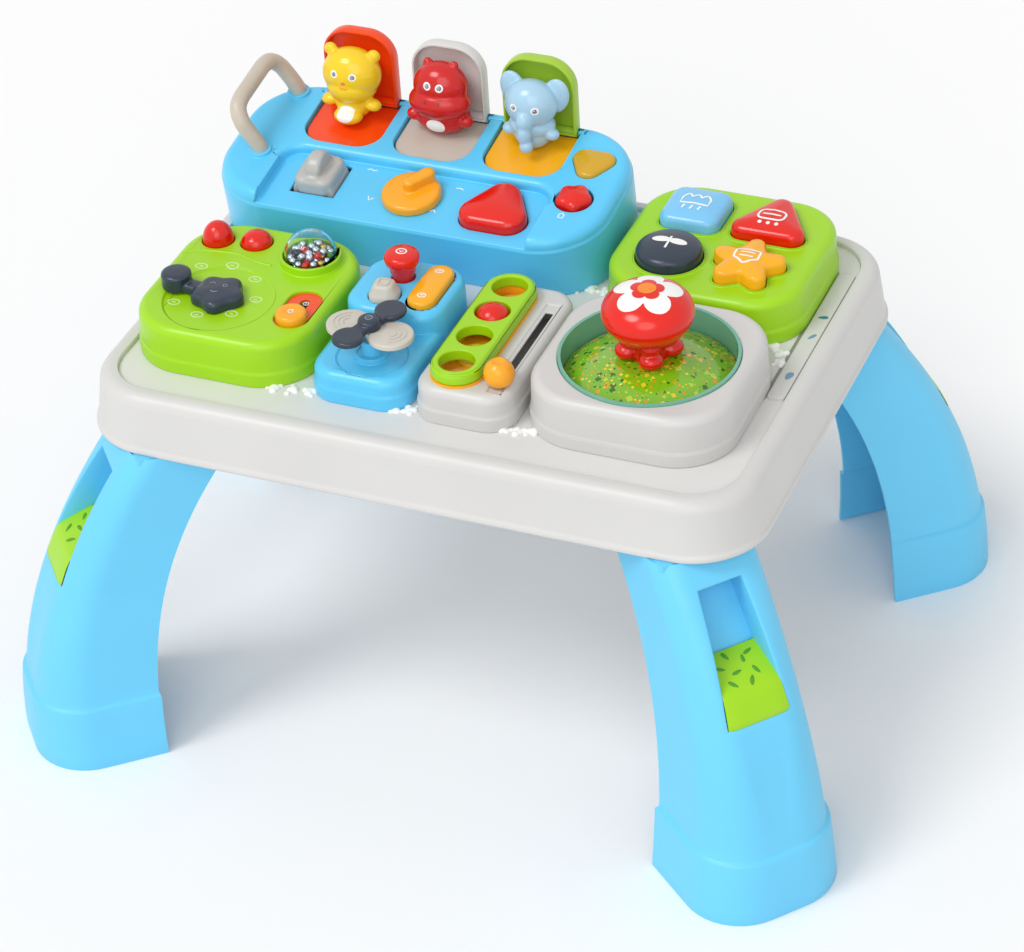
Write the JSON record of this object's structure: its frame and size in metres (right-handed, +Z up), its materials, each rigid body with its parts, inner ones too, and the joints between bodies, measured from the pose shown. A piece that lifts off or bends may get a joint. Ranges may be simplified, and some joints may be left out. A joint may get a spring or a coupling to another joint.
{
  "type": "musical activity table",
  "caption": "Toddler activity table on curved legs, with pop-up animals, dial, propeller, slider, spinning mushroom and shape buttons.",
  "frame": {"origin": "on the floor, under the centre of the table", "axes": "+X to the right along the long front edge, +Y to the back, +Z up"},
  "size_m": [0.5508, 0.4412, 0.363],
  "materials": {
    "blue": "satin",
    "green": "satin",
    "grey": "satin",
    "white": "satin",
    "navy": "gloss",
    "red": "gloss",
    "orange": "gloss",
    "amber": "gloss",
    "pale_blue": "gloss",
    "beige": "satin",
    "mid_grey": "satin",
    "steel": "satin",
    "board_green": "matte",
    "clear": "clear gloss",
    "clear_teal": "clear gloss"
  },
  "bodies": {
    "table": {"tray_top": "grey", "tray_underside": "grey", "deck_insert": "white", "leg_front_left": "blue", "leg_front_right": "blue", "leg_back_left": "blue", "leg_back_right": "blue", "leg_window_blocks": "green", "screws": "steel", "dial_housing": "green", "switch_plate": "orange", "propeller_housing": "blue", "propeller_axle": "steel", "slider_housing": "grey", "pod_panel": "green", "pod_floor": "amber", "mushroom_housing": "grey", "clear_bowl": "clear_teal", "shape_housing": "green", "popup_housing": "blue", "handle": "beige", "amber_light": "amber", "hinge_rod": "steel", "battery_door": "grey", "speaker": "navy", "circuit_board": "board_green"},
    "crank": {"dial_crank": "navy", "dial_knob": "navy"},
    "left_dome": {"dome_left": "red"},
    "right_dome": {"dome_right": "red"},
    "ball": {"rattle_ball": "clear", "rattle_beads": "red"},
    "switch": {"switch_slider": "amber"},
    "propeller": {"propeller_grey": "grey", "propeller_navy": "navy"},
    "red_knob": {"red_push_knob": "red"},
    "grey_knob": {"grey_push_knob": "grey"},
    "rocker": {"yellow_rocker": "amber"},
    "pea": {"pea_button": "red"},
    "slider": {"slider_knob": "amber"},
    "mushroom": {"confetti_disc": "green", "mushroom_base": "red", "mushroom_cap": "red"},
    "square": {"square_button": "blue"},
    "triangle": {"triangle_button": "red"},
    "round": {"round_button": "navy"},
    "star": {"star_button": "amber"},
    "toggle": {"toggle_lever": "mid_grey"},
    "rotary": {"rotary_knob": "amber"},
    "trigger": {"trigger_button": "red"},
    "blob": {"red_small_button": "red"},
    "popup_left": {"lid_left": "orange", "cradle_left": "orange", "bear": "amber"},
    "popup_middle": {"lid_middle": "grey", "cradle_middle": "grey", "hippo": "red"},
    "popup_right": {"lid_right": "green", "cradle_right": "amber", "elephant": "pale_blue"}
  },
  "joints": [
    {"name": "crank_spin", "type": "hinge", "parent": "table", "child": "crank", "pos_m": [-0.1505, -0.075, 0.288], "axis": [0, 0, 1], "continuous": true},
    {"name": "dome_left_press", "type": "slide", "parent": "table", "child": "left_dome", "axis": [0, 0, -1], "range_m": [0, 0.003], "stiffness_N_per_m": 400, "springref_m": -0.003},
    {"name": "dome_right_press", "type": "slide", "parent": "table", "child": "right_dome", "axis": [0, 0, -1], "range_m": [0, 0.003], "stiffness_N_per_m": 400, "springref_m": -0.003},
    {"name": "ball_spin", "type": "hinge", "parent": "table", "child": "ball", "pos_m": [-0.1135, -0.019, 0.288], "axis": [1, 0, 0], "continuous": true},
    {"name": "switch_slide", "type": "slide", "parent": "table", "child": "switch", "axis": [0, 1, 0], "range_m": [0, 0.02]},
    {"name": "propeller_spin", "type": "hinge", "parent": "table", "child": "propeller", "pos_m": [-0.041, -0.09, 0.294], "axis": [0, 0, 1], "continuous": true},
    {"name": "red_knob_press", "type": "slide", "parent": "table", "child": "red_knob", "axis": [0, 0, -1], "range_m": [0, 0.003], "stiffness_N_per_m": 400, "springref_m": -0.003},
    {"name": "grey_knob_press", "type": "slide", "parent": "table", "child": "grey_knob", "axis": [0, 0, -1], "range_m": [0, 0.003], "stiffness_N_per_m": 400, "springref_m": -0.003},
    {"name": "rocker_tilt", "type": "hinge", "parent": "table", "child": "rocker", "pos_m": [-0.026, -0.032, 0.2829], "axis": [1, 0, 0], "range_deg": [-4, 4], "stiffness_Nm_per_rad": 0.1},
    {"name": "pea_press", "type": "slide", "parent": "table", "child": "pea", "axis": [0, 0, -1], "range_m": [0, 0.003], "stiffness_N_per_m": 400, "springref_m": -0.003},
    {"name": "slider_slide", "type": "slide", "parent": "table", "child": "slider", "axis": [0, 1, 0], "range_m": [0, 0.078]},
    {"name": "mushroom_spin", "type": "hinge", "parent": "table", "child": "mushroom", "pos_m": [0.125, -0.054, 0.273], "axis": [0, 0, 1], "continuous": true},
    {"name": "square_press", "type": "slide", "parent": "table", "child": "square", "axis": [0, 0, -1], "range_m": [0, 0.003], "stiffness_N_per_m": 400, "springref_m": -0.003},
    {"name": "triangle_press", "type": "slide", "parent": "table", "child": "triangle", "axis": [0, 0, -1], "range_m": [0, 0.003], "stiffness_N_per_m": 400, "springref_m": -0.003},
    {"name": "round_press", "type": "slide", "parent": "table", "child": "round", "axis": [0, 0, -1], "range_m": [0, 0.003], "stiffness_N_per_m": 400, "springref_m": -0.003},
    {"name": "star_press", "type": "slide", "parent": "table", "child": "star", "axis": [0, 0, -1], "range_m": [0, 0.003], "stiffness_N_per_m": 400, "springref_m": -0.003},
    {"name": "toggle_tilt", "type": "hinge", "parent": "table", "child": "toggle", "pos_m": [-0.1405, 0.05739, 0.28935], "axis": [0, 0.9903, 0.1392], "range_deg": [-18, 18], "stiffness_Nm_per_rad": 0.06},
    {"name": "rotary_turn", "type": "hinge", "parent": "table", "child": "rotary", "pos_m": [-0.0755, 0.05373, 0.29388], "axis": [0, -0.1392, 0.9903], "range_deg": [-60, 60], "stiffness_Nm_per_rad": 0.02},
    {"name": "trigger_press", "type": "slide", "parent": "table", "child": "trigger", "axis": [0, 0.1392, -0.9903], "range_m": [0, 0.003], "stiffness_N_per_m": 400, "springref_m": -0.003},
    {"name": "blob_press", "type": "slide", "parent": "table", "child": "blob", "axis": [0, 0.1392, -0.9903], "range_m": [0, 0.003], "stiffness_N_per_m": 400, "springref_m": -0.003},
    {"name": "lid_left_flip", "type": "hinge", "parent": "table", "child": "popup_left", "pos_m": [-0.1415, 0.13211, 0.31096], "axis": [1, 0, 0], "range_deg": [0, 90], "stiffness_Nm_per_rad": 0.02, "springref_deg": -68.75},
    {"name": "lid_middle_flip", "type": "hinge", "parent": "table", "child": "popup_middle", "pos_m": [-0.079, 0.13211, 0.31096], "axis": [1, 0, 0], "range_deg": [0, 90], "stiffness_Nm_per_rad": 0.02, "springref_deg": -68.75},
    {"name": "lid_right_flip", "type": "hinge", "parent": "table", "child": "popup_right", "pos_m": [-0.0165, 0.13211, 0.31096], "axis": [1, 0, 0], "range_deg": [0, 90], "stiffness_Nm_per_rad": 0.02, "springref_deg": -68.75}
  ]
}
